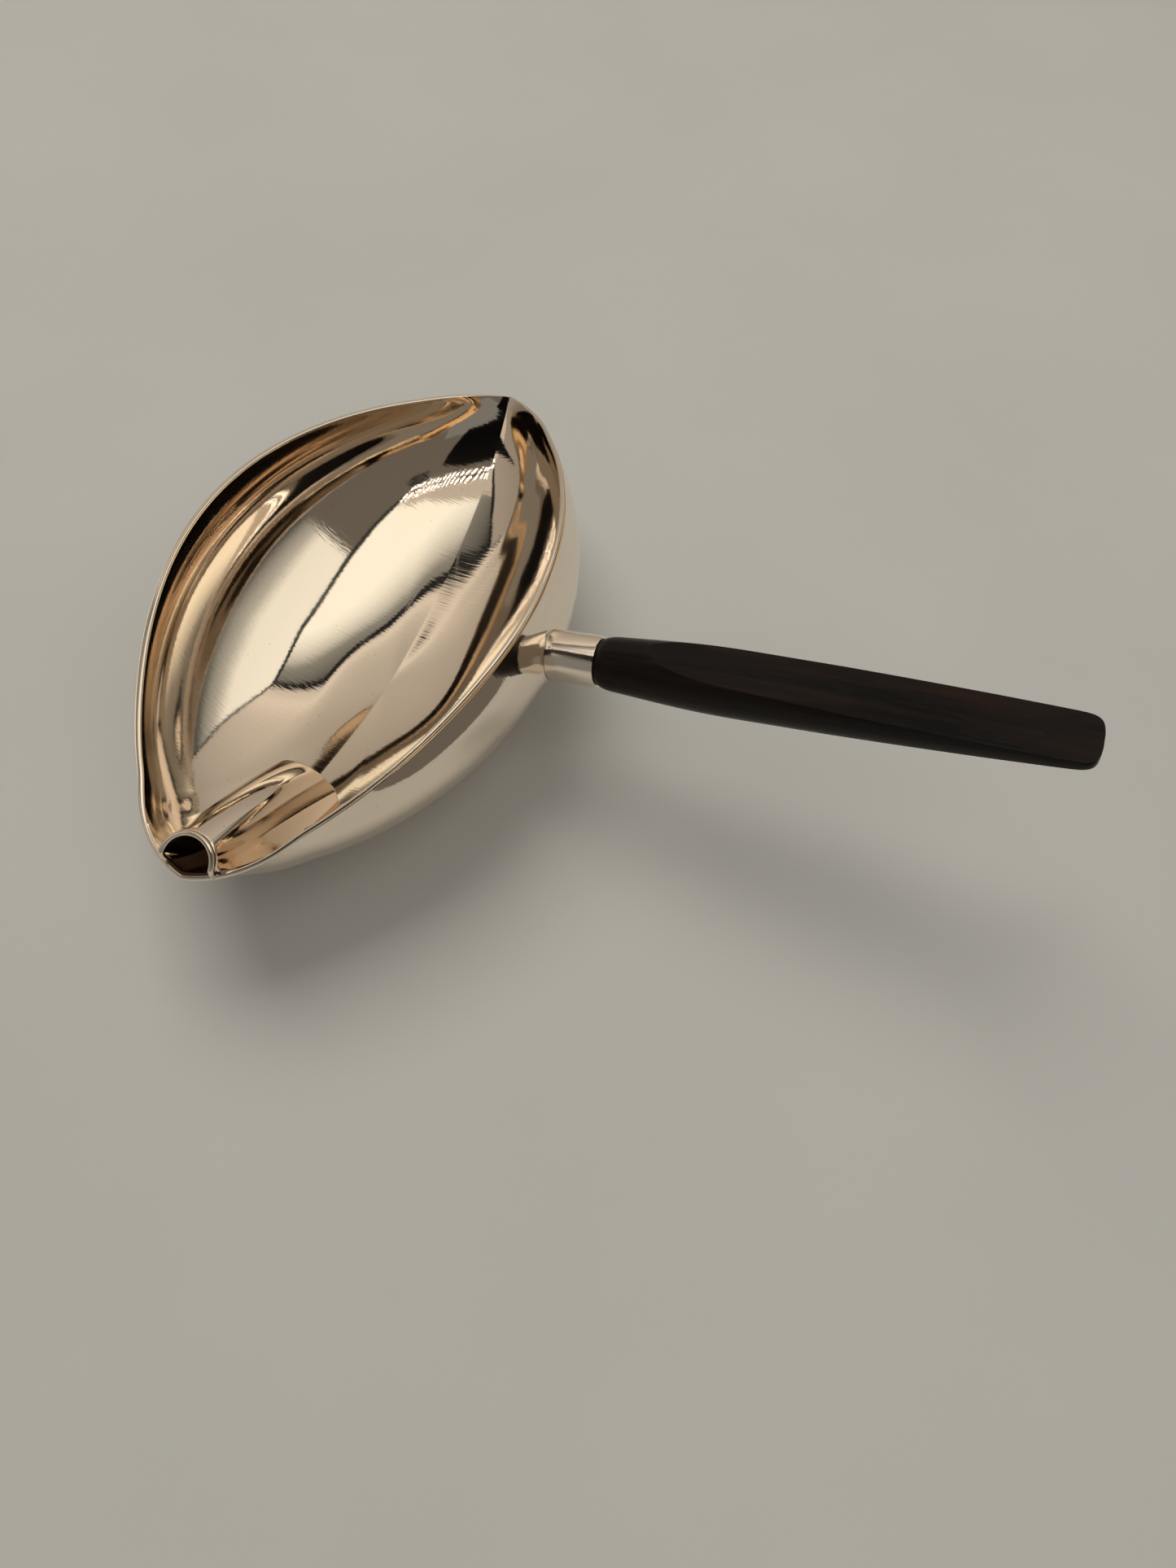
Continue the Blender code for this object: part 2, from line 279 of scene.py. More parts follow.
# Dark seams of the tent
SEAM_WIDTH = 0.036
BACK_SEAM_WIDTH = 0.05
CORNER_SEAM_WIDTH = 0.014
CORNER_SEAM_FROM = 0.31
CORNER_SEAM_IN = 0.98
SEAM_COLOUR = (0.1, 0.1, 0.11)
SEAM_GLOW = 0.12

# Light of the tent: colours, shares of its brightness, and stops of (share of the way, level)
UP = (0.0, 0.0, 1.0)
WARM = (1.0, 0.96, 0.84)
TAN = (1.0, 0.88, 0.74)
FRONT_SHARE = 0.5
CORNER_SHARE = 0.14
LEFT_FRONT_SHARE = 0.6
CEILING_FADES_TOWARD = (0.7071, -0.7071, 0.0)
CEILING_FADES_OVER = (-0.22, 0.02)
CEILING_FADE = ((0.0, 0.06), (0.2, 0.15), (0.45, 0.24), (0.6, 0.55), (0.8, 0.82), (1.0, 1.0))
RIGHT_LOW = ((0.0, 0.3), (0.2, 0.22), (0.33, 0.08), (0.4, 0.28))
RIGHT_HIGH = ((0.5, 0.5), (0.6, 0.95), (0.85, 1.0))
BACK_FADE = ((0.0, 0.3), (0.25, 0.38), (0.5, 0.48), (0.7, 0.62), (0.85, 0.8), (1.0, 0.6))
WALL_FADES = {
    "right": (WARM, RIGHT_LOW + RIGHT_HIGH),
    "back": (TAN, BACK_FADE),
    "left": (TAN, ((0.0, 0.1), (0.4, 0.3), (0.7, 0.35), (1.0, 0.4))),
    "front": (TAN, ((0.0, 0.1), (0.4, 0.14), (0.7, 0.14), (1.0, 0.14))),
}

# Two rows of small square lamps along the front of the ceiling
LAMP_ROW = ((0.2, -0.061), (0.077, -0.091), (-0.1, -0.108), (-0.279, -0.126))
LAMP_SECOND_ROW = -0.022
LAMP_PITCH = 0.0175
LAMP_HALF_LENGTH = 0.0028
LAMP_WIDTH = 0.007
LAMP_COLOUR = (1.0, 0.97, 0.92)
LAMP_GLOW = 9.0

# Dark shape of a camera on its arm, which the silver reflects too
SHADOW_SHAPE = (
    (0.125, -0.085, 0.27),
    (0.13, -0.178, 0.18),
    (0.05, -0.185, 0.205),
    (0.045, -0.093, 0.294),
)
ARM_SHAPE = (*SHADOW_SHAPE[2:], (-0.1, -0.08, 0.245), (-0.255, -0.048, 0.188))
SHADOW_COLOUR = (0.05, 0.045, 0.045)
SHADOW_GLOW = 0.05

# Soft lamps that light the boat and the paper: name, place, size and share of the key's power
SOFT_LAMPS = (
    ("soft_key", (-0.65, 0.6, 1.8), 1.3, 1.0),
    ("soft_side", (1.0, -0.6, 1.8), 1.6, 0.4),
)
SOFT_LAMP_COLOUR = (1.0, 0.985, 0.95)
ROOM_COLOUR = (1.0, 0.97, 0.93)

# Camera: its place, the ways its right, its underside and its sight point, and its lens in
# millimetres
CAMERA_PLACE = (0.10335, -0.1497, 0.23142)
CAMERA_RIGHT = (0.9327352, 0.3578391, 0.0442292)
CAMERA_DOWN = (0.323975, -0.7779183, -0.5384082)
CAMERA_AHEAD = (-0.1582568, 0.5165214, -0.8415227)
CAMERA_LENS = 24.96
CAMERA_NEAR = 0.01
SENSOR_WIDTH = 36.0


# ---------------------------------------------------------------- settings


class SAUCEBOAT_PG_bowl(bpy.types.PropertyGroup):
    wall: bpy.props.FloatProperty(
        name="Wall",
        description="Thickness of the bowl's sheet",
        default=0.0011,
        unit="LENGTH",
        subtype="DISTANCE",
    )
    bead: bpy.props.FloatProperty(
        name="Rim bead",
        description="Radius of the rounded wire on the rim",
        default=0.0006,
        unit="LENGTH",
        subtype="DISTANCE",
    )
    columns: bpy.props.IntProperty(
        name="Columns",
        description="Faces round the bowl",
        default=360,
    )
    tint: bpy.props.FloatVectorProperty(
        name="Silver",
        description="Colour of polished silver",
        default=(0.945, 0.835, 0.705),
        size=3,
        subtype="COLOR",
    )


class SAUCEBOAT_PG_spout(bpy.types.PropertyGroup):
    wall: bpy.props.FloatProperty(
        name="Hood wall",
        description="Thickness of the spout's hood",
        default=0.0009,
        unit="LENGTH",
        subtype="DISTANCE",
    )
    wire: bpy.props.FloatProperty(
        name="Mouth wire",
        description="Radius of the wire round the spout's mouth",
        default=0.00056,
        unit="LENGTH",
        subtype="DISTANCE",
    )


class SAUCEBOAT_PG_handle(bpy.types.PropertyGroup):
    wood: bpy.props.FloatVectorProperty(
        name="Wood",
        description="Colour of the dark streaks in the wood",
        default=(0.002, 0.0015, 0.0012),
        size=3,
        subtype="COLOR",
    )
    streak: bpy.props.FloatVectorProperty(
        name="Streaks",
        description="Colour of the red-brown streaks in the wood",
        default=(0.016, 0.0062, 0.0038),
        size=3,
        subtype="COLOR",
    )
    arris: bpy.props.FloatProperty(
        name="Arris",
        description="Width of the softened edge along the grip's flats",
        default=0.0003,
        unit="LENGTH",
        subtype="DISTANCE",
    )


class SAUCEBOAT_PG_stage(bpy.types.PropertyGroup):
    floor: bpy.props.FloatVectorProperty(
        name="Floor",
        description="Colour of the paper the boat stands on",
        default=(0.62, 0.6, 0.55),
        size=3,
        subtype="COLOR",
    )
    ceiling: bpy.props.FloatProperty(
        name="Ceiling light",
        description="Brightness of the tent's ceiling",
        default=1.08,
    )
    walls: bpy.props.FloatProperty(
        name="Wall light",
        description="Brightness of the tent's walls",
        default=0.95,
    )
    key: bpy.props.FloatProperty(
        name="Key light",
        description="Power of the soft lamp over the back of the boat, in watts",
        default=18.5,
    )
    fill: bpy.props.FloatProperty(
        name="Fill light",
        description="Brightness of the room, which softens the shadows",
        default=0.2,
    )


# ---------------------------------------------------------------- making meshes


def select_none():
    if bpy.context.mode != "OBJECT":
        bpy.ops.object.mode_set(mode="OBJECT")
    bpy.ops.object.select_all(action="DESELECT")


def choose(obj):
    select_none()
    obj.select_set(True)
    bpy.context.view_layer.objects.active = obj


def rolled_sheet(name, points):
    """A grid primitive laid on points[row, column], with the edges that meet merged."""
    rows, columns = points.shape[0] - 1, points.shape[1] - 1
    select_none()
    bpy.ops.mesh.primitive_grid_add(
        x_subdivisions=columns,
        y_subdivisions=rows,
        size=2.0,
        location=(0.0, 0.0, 0.0),
    )
    obj = bpy.context.object
    obj.name = name
    obj.data.name = name
    flat = np.empty(len(obj.data.vertices) * 3, np.float32)
    obj.data.vertices.foreach_get("co", flat)
    flat = flat.reshape(-1, 3)
    column = np.rint((flat[:, 0] + 1.0) * 0.5 * columns).astype(int)
    row = np.rint((flat[:, 1] + 1.0) * 0.5 * rows).astype(int)
    laid = points[row, column] * MM
    obj.data.vertices.foreach_set("co", laid.astype(np.float32).ravel())
    obj.data.update()
    bpy.ops.object.mode_set(mode="EDIT")
    bpy.ops.mesh.select_all(action="SELECT")
    bpy.ops.mesh.remove_doubles(threshold=MERGE_WITHIN)
    bpy.ops.mesh.normals_make_consistent(inside=False)
    bpy.ops.object.mode_set(mode="OBJECT")
    return obj


def close_ends(obj):
    choose(obj)
    bpy.ops.object.mode_set(mode="EDIT")
    bpy.ops.mesh.select_all(action="SELECT")
    bpy.ops.mesh.fill_holes(sides=0)
    bpy.ops.mesh.select_all(action="SELECT")
    bpy.ops.mesh.normals_make_consistent(inside=False)
    bpy.ops.object.mode_set(mode="OBJECT")


def soften(obj, width, angle):
    """Rounds the edges that turn by more than angle degrees."""
    choose(obj)
    bevel = obj.modifiers.new("Soft edges", "BEVEL")
    bevel.width = width
    bevel.segments = 2
    bevel.limit_method = "ANGLE"
    bevel.angle_limit = math.radians(angle)
    bpy.ops.object.modifier_apply(modifier=bevel.name)


def shade(obj, angle):
    choose(obj)
    bpy.ops.object.shade_smooth_by_angle(angle=math.radians(angle))


def fit_out(obj, material, slot, *nodes):
    """Material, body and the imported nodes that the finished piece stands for."""
    obj.data.materials.clear()
    obj.data.materials.append(material)
    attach(obj, BODY)
    if nodes:
        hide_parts(*nodes)


# ---------------------------------------------------------------- shapes, in millimetres


def smooth_step(value, first, last):
    share = np.clip((value - first) / (last - first), 0.0, 1.0)
    return share * share * (3.0 - 2.0 * share)


def unit(vectors):
    """The vectors brought to length one."""
    size = np.linalg.norm(vectors, axis=-1, keepdims=True)
    return vectors / np.maximum(size, NO_LENGTH)


def rim_curve(turn):
    """Points on the outer edge of the rim, and each one's share of the way to the tip."""
    y = HALF_LENGTH * np.sin(turn)
    cosine = np.cos(turn)
    share = np.abs(y) / HALF_LENGTH
    fullness = 1.0 + PLAN_FULLNESS[0] * share**2 + PLAN_FULLNESS[1] * share**4
    wider = np.where(y < 0.0, SPOUT_LIP_WIDER, POUR_LIP_WIDER)
    fullness = fullness * (1.0 + wider * smooth_step(np.abs(y), *LIP_WIDENS_OVER))
    beyond = (-y - SPOUT_LIP_START) / SPOUT_LIP_REACH
    short = -SPOUT_LIP_START - SPOUT_LIP_REACH * np.tanh(beyond)
    y = np.where(y < -SPOUT_LIP_START, short, y)
    z = RIM_HEIGHT + RIM_FALL[0] * share**2 + RIM_FALL[1] * share**4
    turned = np.maximum(np.abs(y) - LIP_TURNS_FROM, 0.0) / (HALF_LENGTH - LIP_TURNS_FROM)
    x = HALF_WIDTH * np.sign(cosine) * np.abs(cosine) ** PLAN_POWER * fullness
    x = x + np.sign(y) * LIP_TURN * turned**1.5
    return np.stack([x, y, z], axis=-1), share


def bezier(points, share):
    """Points along a Bezier curve, one for each share."""
    share = share[:, None]
    points = [np.asarray(point) + 0.0 * share for point in points]
    while len(points) > 1:
        pairs = zip(points, points[1:])
        points = [first + (second - first) * share for first, second in pairs]
    return points[0]


def hull(turn, along):
    """Outer surface of the bowl, as points[along, turn]; along runs from rim to middle."""
    rim, tip = rim_curve(turn)
    side = bezier(SIDE_PROFILE, along)[:, None, :]
    end = bezier(TIP_PROFILE, along)[:, None, :]
    blend = (tip**TIP_BLEND)[None, :, None]
    profile = side + (end - side) * blend
    across = rim[None, :, :2] * profile[:, :, :1]
    height = rim[None, :, 2:] * profile[:, :, 1:]
    return np.concatenate([across, height], axis=2)


def hull_normal(turn, along):
    """Outward normals of the bowl's outer surface."""
    low = np.maximum(along - SLOPE_STEP, 0.0)
    high = np.minimum(along + SLOPE_STEP, SLOPE_END)
    down = hull(turn, high) - hull(turn, low)
    round_rim = hull(turn + SLOPE_STEP, along) - hull(turn - SLOPE_STEP, along)
    return unit(np.cross(down, round_rim))


def hull_inside(turn, along, depth):
    """The hull moved inward by depth, kept from crossing itself at the sharp tips."""
    inner = hull(turn, along) - hull_normal(turn, along) * depth
    inner[:, :, 0] = on_own_side(turn, inner[:, :, 0], middle_line(turn, along))
    return inner


def on_own_side(turn, x, middle):
    """The points' x, stopped at the crease where they would have crossed it."""
    past = (x - middle) * np.sign(np.cos(turn)) < 0.0
    return np.where(past, middle, x)


def middle_line(turn, along):
    """Where the crease of the tips lies, for each point."""
    rim, _ = rim_curve(turn)
    tips = np.where(rim[:, 1] < 0.0, -math.pi / 2.0, math.pi / 2.0)
    return hull(tips, along)[:, :, 0] * np.abs(np.sin(turn))[None, :] ** CREASE_POWER


def turns(columns):
    return np.linspace(-math.pi / 2.0, 1.5 * math.pi, columns + 1)


def bowl_points(columns, wall, bead):
    """Rows from the middle of the base up the outside, over and down the inside."""
    turn = turns(columns)
    top = bead / RIM_HEIGHT
    outside = np.linspace(1.0, top, OUTSIDE_ROWS)
    inside = np.linspace(top, 1.0, INSIDE_ROWS)
    outer = hull(turn, outside)
    raised = smooth_step(outside, *BASE_FLAT)[:, None]
    outer[:, :, 2] = outer[:, :, 2] * (1.0 - raised)
    inner = hull_inside(turn, inside, wall)
    inner[-1, :, :] = (0.0, 0.0, wall)
    return np.concatenate([outer, inner])


def wire_points(path, radius, side_hint):
    """Rings of a round wire along a path, each ring square to the path."""
    along = unit(np.gradient(path, axis=0))
    first = unit(np.cross(along, side_hint))
    second = np.cross(first, along)
    angle = np.linspace(0.0, 2.0 * math.pi, WIRE_SIDES + 1)[:, None, None]
    ring = np.cos(angle) * first + np.sin(angle) * second
    return path[None] + ring * radius


def rim_path(columns, wall, bead):
    """Middle of the rim's bead, inside the outer edge by half the wall."""
    turn = turns(columns)
    rim, _ = rim_curve(turn)
    normal = hull_normal(turn, np.array([UNDER_RIM]))[0]
    outward = unit(normal * (1.0, 1.0, 0.0))
    path = rim - outward * 0.5 * wall
    path[:, 0] = on_own_side(turn, path[:, 0], middle_line(turn, np.array([0.0]))[0])
    path[:, 2] -= bead
    return path, outward


def mix(first, second, share):
    return first + (second - first) * share


def arch_section(share, thin, steps):
    """Inverted U across the spout, leg to leg; share runs from the mouth to the inlet."""
    lean = math.radians(mix(MOUTH_LEAN, 0.0, share))
    back = mix(MOUTH_SETBACK, 0.0, share)
    y = mix(MOUTH_CENTRE[0], INLET_CENTRE[0], share) + back * math.cos(lean)
    z = mix(MOUTH_CENTRE[1], INLET_CENTRE[1], share) - back * math.sin(lean)
    across = mix(MOUTH_RADIUS, INLET_RADIUS[0], share) - thin
    above = mix(MOUTH_RADIUS, INLET_RADIUS[1], share) - thin
    leg_steps = steps // 3
    drop = np.linspace(1.0, 0.0, leg_steps, endpoint=False)
    foot_y = LEG_LENGTH * LEG_LEAN * (1.0 - share)
    leg = np.stack([across + 0.0 * drop, y + foot_y * drop, z - LEG_LENGTH * drop], axis=1)
    angle = np.linspace(0.0, math.pi, steps + 1)
    rise = above * np.sin(angle)
    arch = np.stack(
        [
            across * np.cos(angle),
            y + rise * math.sin(lean),
            z + rise * math.cos(lean),
        ],
        axis=1,
    )
    far_leg = leg[::-1] * (-1.0, 1.0, 1.0)
    return np.concatenate([leg, arch, far_leg])


def axis_matrix():
    """Local +Z runs out along the handle, local +X is its upper side; millimetres."""
    tilt = math.radians(HANDLE_TILT)
    along = Vector((math.cos(tilt), 0.0, math.sin(tilt)))
    upper = Vector((-math.sin(tilt), 0.0, math.cos(tilt)))
    side = along.cross(upper)
    matrix = Matrix((upper, side, along)).transposed().to_4x4()
    matrix.translation = Vector((AXIS_X, 0.0, AXIS_Z))
    return matrix


def on_axis(points):
    """Points given as (upper, side, along) about the handle's axis, in the boat's own place."""
    matrix = np.array(axis_matrix())
    return points @ matrix[:3, :3].T + matrix[:3, 3]


def turned_points(outline, sides):
    """Rings of a turned piece from (along, radius) pairs."""
    angle = np.linspace(0.0, 2.0 * math.pi, sides + 1)
    rings = []
    for along, radius in outline:
        flat = np.stack([radius * np.cos(angle), radius * np.sin(angle), along + 0.0 * angle])
        rings.append(on_axis(flat.T))
    return np.array(rings)


def hull_hit(bowl, start, direction):
    """The point where a line from start along direction meets the bowl."""
    hit, point, _, _ = bowl.ray_cast(Vector(start) * MM, Vector(direction))
    if not hit:
        raise RuntimeError("the handle's neck misses the bowl")
    return np.array(point) / MM


def neck_points(bowl):
    """A flare from the tube's seam, curving out onto the side of the bowl."""
    matrix = np.array(axis_matrix())[:3, :3]
    toward = matrix @ np.array((0.0, 0.0, -1.0))
    angle = np.linspace(0.0, 2.0 * math.pi, SOCKET_SIDES + 1)
    rings = np.empty((NECK_ROWS + 1, SOCKET_SIDES + 1, 3))
    for column, turn in enumerate(angle):
        out = np.array((math.cos(turn), math.sin(turn), 0.0))
        rim = on_axis(out * SOCKET_RADIUS + np.array((0.0, 0.0, SEAM_AT)))
        spread = mix(NECK_SPREAD[1], NECK_SPREAD[0], 0.5 + 0.5 * math.cos(turn))
        wide = on_axis(out * (SOCKET_RADIUS + spread) + np.array((0.0, 0.0, SEAM_AT)))
        root = hull_hit(bowl, rim, toward)
        foot = hull_hit(bowl, wide, toward) + toward * NECK_SINK
        share = np.linspace(0.0, 1.0, NECK_ROWS + 1)[:, None]
        start_to_root = rim + (root - rim) * share
        root_to_foot = root + (foot - root) * share
        rings[:, column] = start_to_root + (root_to_foot - start_to_root) * share
    return rings


def flat_height(along):
    """Distance of the grip's flats from its axis."""
    curl = np.maximum(FLAT_FROM - along, 0.0)
    return FLAT_HEIGHT + FLAT_SLOPE * (along - FLAT_FROM) + FLAT_CURL * curl**2


def outline_rows(outline, spacing):
    """Stations along a smooth curve through the outline's points."""
    along, radius = np.array(outline).T
    reach = np.concatenate([[0.0], np.cumsum(np.hypot(np.diff(along), np.diff(radius)))])
    count = int(reach[-1] / spacing)
    where = np.linspace(0.0, reach[-1], count)
    rough = np.stack([np.interp(where, reach, along), np.interp(where, reach, radius)], axis=1)
    for _ in range(SMOOTHING_PASSES):
        rough[1:-1] = 0.25 * rough[:-2] + 0.5 * rough[1:-1] + 0.25 * rough[2:]
    return rough


def grip_points():
    """Rings of the grip: a turned form with a flat cut along its upper and lower sides."""
    rows = outline_rows(GRIP_OUTLINE, GRIP_SPACING)
    steps = np.linspace(-1.0, 1.0, FLAT_POINTS)
    rings = []
    for along, radius in rows:
        height = min(float(flat_height(np.array(along))), radius * FLAT_LIMIT)
        corner = math.acos(height / radius)
        arc = np.linspace(corner, math.pi - corner, ROUND_POINTS)
        upper = np.stack([height + 0.0 * steps, radius * math.sin(corner) * steps], axis=1)
        side = np.stack([radius * np.cos(arc), radius * np.sin(arc)], axis=1)[1:-1]
        half = np.concatenate([upper, side])
        loop = np.concatenate([half, -half, half[:1]])
        ring = np.concatenate([loop, np.full((len(loop), 1), along)], axis=1)
        rings.append(on_axis(ring))
    return np.array(rings)


# ---------------------------------------------------------------- materials


def feed(tree, made, inputs):
    """Gives each named input of a node a plain value or the socket that feeds it."""
    for name, value in inputs.items():
        if isinstance(value, bpy.types.NodeSocket):
            tree.links.new(value, made.inputs[name])
        else:
            made.inputs[name].default_value = value


def node(tree, kind, x, y, inputs=None, **values):
    made = tree.nodes.new(kind)
    made.location = (x, y)
    for name, value in values.items():
        setattr(made, name, value)
    feed(tree, made, inputs or {})
    return made


def mapped(tree, x, y, vector, scale, rotation=(0.0, 0.0, 0.0)):
    """A place turned and scaled."""
    inputs = {"Vector": vector, "Rotation": rotation, "Scale": scale}
    return node(tree, "ShaderNodeMapping", x, y, inputs).outputs["Vector"]


def noise(tree, x, y, vector, scale, detail, **more):
    """The value of a noise texture over a place."""
    inputs = {"Vector": vector, "Scale": scale, "Detail": detail, **more}
    return node(tree, "ShaderNodeTexNoise", x, y, inputs).outputs["Fac"]


def worked(tree, operation, x, y, *values):
    """The result of an operation on sockets and plain numbers."""
    inputs = dict(enumerate(values))
    return node(tree, "ShaderNodeMath", x, y, inputs, operation=operation).outputs[0]


def ranged(tree, x, y, value, first, last):
    """0 where the value is first or before it, 1 where it is last or past it."""
    inputs = {"Value": value, "From Min": first, "From Max": last}
    return node(tree, "ShaderNodeMapRange", x, y, inputs).outputs["Result"]


def mixed(tree, x, y, share, first, second):
    """One colour laid over another by a share."""
    inputs = {"Factor": share, "A": first, "B": second}
    return node(tree, "ShaderNodeMix", x, y, inputs, data_type="RGBA").outputs["Result"]


def ramped(tree, x, y, share, stops):
    """A colour that runs through stops of (share, colour)."""
    ramp = node(tree, "ShaderNodeValToRGB", x, y, {"Fac": share})
    elements = ramp.color_ramp.elements
    while len(elements) < len(stops):
        elements.new(0.5)
    for element, (position, colour) in zip(elements, stops):
        element.position = position
        element.color = (*colour, 1.0)
    return ramp.outputs["Color"]


def new_group(name, inputs, outputs):
    """An empty shader node group with its sockets."""
    group = bpy.data.node_groups.new(name, "ShaderNodeTree")
    for label, kind, default in inputs:
        socket = group.interface.new_socket(label, in_out="INPUT", socket_type=kind)
        socket.default_value = default
    for label, kind in outputs:
        group.interface.new_socket(label, in_out="OUTPUT", socket_type=kind)
    return group


def polish_group():
    """Fine polishing marks and long soft waves: a height and a roughness."""
    group = bpy.data.node_groups.get("polish_marks")
    if group:
        return group
    group = new_group(
        "polish_marks",
        (
            ("Vector", "NodeSocketVector", (0.0, 0.0, 0.0)),
            ("Roughness", "NodeSocketFloat", 0.08),
            ("Variation", "NodeSocketFloat", 0.05),
            ("Marks", "NodeSocketFloat", 0.3),
            ("Waves", "NodeSocketFloat", 1.0),
        ),
        (("Roughness", "NodeSocketFloat"), ("Height", "NodeSocketFloat")),
    )
    given = node(group, "NodeGroupInput", -1000, 0).outputs
    height = None
    for step, (turn, scale) in enumerate(BRUSH_STROKES):
        y = 300 - 260 * step
        rotation = (*BRUSH_LEAN, math.radians(turn))
        stroke = mapped(group, -760, y, given["Vector"], BRUSH_STRETCH, rotation)
        mark = noise(group, -540, y, stroke, scale, 2.0)
        height = mark if height is None else worked(group, "ADD", -300, y, height, mark)
    marks = worked(group, "MULTIPLY", -60, 200, height, given["Marks"])
    wave = noise(group, -540, -560, given["Vector"], WAVE_SCALE, 1.0)
    stretch = mapped(group, -760, -1160, given["Vector"], RIPPLE_STRETCH)
    ripple = noise(group, -540, -1160, stretch, RIPPLE_SCALE, 1.0)
    rippled = worked(group, "MULTIPLY_ADD", -300, -560, ripple, RIPPLE_SHARE, wave)
    waves = worked(group, "MULTIPLY", -60, -100, rippled, given["Waves"])
    total = worked(group, "ADD", 180, 60, marks, waves)
    cloud = noise(group, -540, -860, given["Vector"], CLOUD_SCALE, 6.0)
    centre = worked(group, "SUBTRACT", -300, -860, cloud, 0.5)
    varied = (centre, given["Variation"], given["Roughness"])
    rough = worked(group, "MULTIPLY_ADD", -60, -700, *varied)
    rough = worked(group, "MAXIMUM", 180, -500, rough, LEAST_ROUGHNESS)
    node(group, "NodeGroupOutput", 800, 0, {"Roughness": rough, "Height": total})
    return group


def tarnish_group():
    """Warm patches and tiny dark specks over a metal's colour."""
    group = bpy.data.node_groups.get("tarnish")
    if group:
        return group
    group = new_group(
        "tarnish",
        (
            ("Vector", "NodeSocketVector", (0.0, 0.0, 0.0)),
            ("Metal", "NodeSocketColor", (0.9, 0.86, 0.8, 1.0)),
            ("Warm", "NodeSocketColor", (0.8, 0.7, 0.55, 1.0)),
            ("Patches", "NodeSocketFloat", 0.3),
            ("Specks", "NodeSocketFloat", 0.3),
        ),
        (("Color", "NodeSocketColor"),),
    )
    given = node(group, "NodeGroupInput", -900, 0).outputs
    patch = noise(group, -660, 200, given["Vector"], PATCH_SCALE, 4.0)
    patch = ranged(group, -440, 200, patch, *PATCH_EDGE)
    patch = worked(group, "MULTIPLY", -220, 200, patch, given["Patches"])
    warm = mixed(group, 0, 120, patch, given["Metal"], given["Warm"])
    cells = {"Vector": given["Vector"], "Scale": SPECK_SCALE}
    speck = node(group, "ShaderNodeTexVoronoi", -660, -200, cells).outputs["Distance"]
    speck = ranged(group, -440, -200, speck, *SPECK_EDGE)
    speck = worked(group, "MULTIPLY", -220, -200, speck, given["Specks"])
    dark = mixed(group, 320, 0, speck, warm, SPECK_COLOUR)
    node(group, "NodeGroupOutput", 700, 0, {"Color": dark})
    return group


def principled(name):
    """A new material, its tree, its shader and the place that its textures start from."""
    material = bpy.data.materials.new(name)
    material.use_nodes = True
    tree = material.node_tree
    place = node(tree, "ShaderNodeTexCoord", -1300, 0).outputs["Object"]
    return material, tree, tree.nodes["Principled BSDF"], place


def silver(name, tint):
    """Polished silver with the finish of that name."""
    *polish, patches = FINISHES[name]
    material, tree, shader, place = principled(name)
    marks = node(tree, "ShaderNodeGroup", -600, -200, node_tree=polish_group())
    feed(tree, marks, {"Vector": place, **dict(zip(POLISH_INPUTS, polish))})
    height = {"Height": marks.outputs["Height"], "Distance": MARK_DEPTH, "Strength": 1.0}
    bump = node(tree, "ShaderNodeBump", -300, -300, height)
    tarnish = node(tree, "ShaderNodeGroup", -600, 200, node_tree=tarnish_group())
    warm = [channel * share for channel, share in zip(tint, WARMER)]
    feed(tree, tarnish, {"Vector": place, "Metal": (*tint, 1.0), "Warm": (*warm, 1.0)})
    feed(tree, tarnish, {"Patches": patches, "Specks": SPECKS})
    feed(tree, shader, {"Metallic": 1.0, "Base Color": tarnish.outputs["Color"]})
    feed(tree, shader, {"Roughness": marks.outputs["Roughness"]})
    feed(tree, shader, {"Normal": bump.outputs["Normal"]})
    return material


def in_tube(point):
    """Whether a point, in metres, lies inside the covered spout."""
    x, y, z = point / MM
    share = (y - MOUTH_CENTRE[0]) / (INLET_CENTRE[0] - MOUTH_CENTRE[0])
    height = z - mix(MOUTH_CENTRE[1], INLET_CENTRE[1], share)
    across = mix(MOUTH_RADIUS, INLET_RADIUS[0], share)
    above = mix(MOUTH_RADIUS, INLET_RADIUS[1], share)
    rise = max(height, 0.0) / above
    within = (x / across) ** 2 + rise**2 < 1.0
    return TUBE_SHADE_FROM < share < TUBE_SHADE_TO and within


def paint_tube_shade(obj):
    """A second, dark material on the faces that line the covered spout: painted shade inside the
    tube.
    """
    obj.data.materials.append(tube_shade_material())
    for polygon in obj.data.polygons:
        if in_tube(polygon.center + polygon.normal * TUBE_SHADE_DEPTH * MM):
            polygon.material_index = 1


def tube_shade_material():
    """Rougher silver, darkened to paint the shade inside the spout."""
    made = bpy.data.materials.get("tube_painted_shade_look")
    return made or silver("tube_painted_shade_look", TUBE_SHADE_TINT)


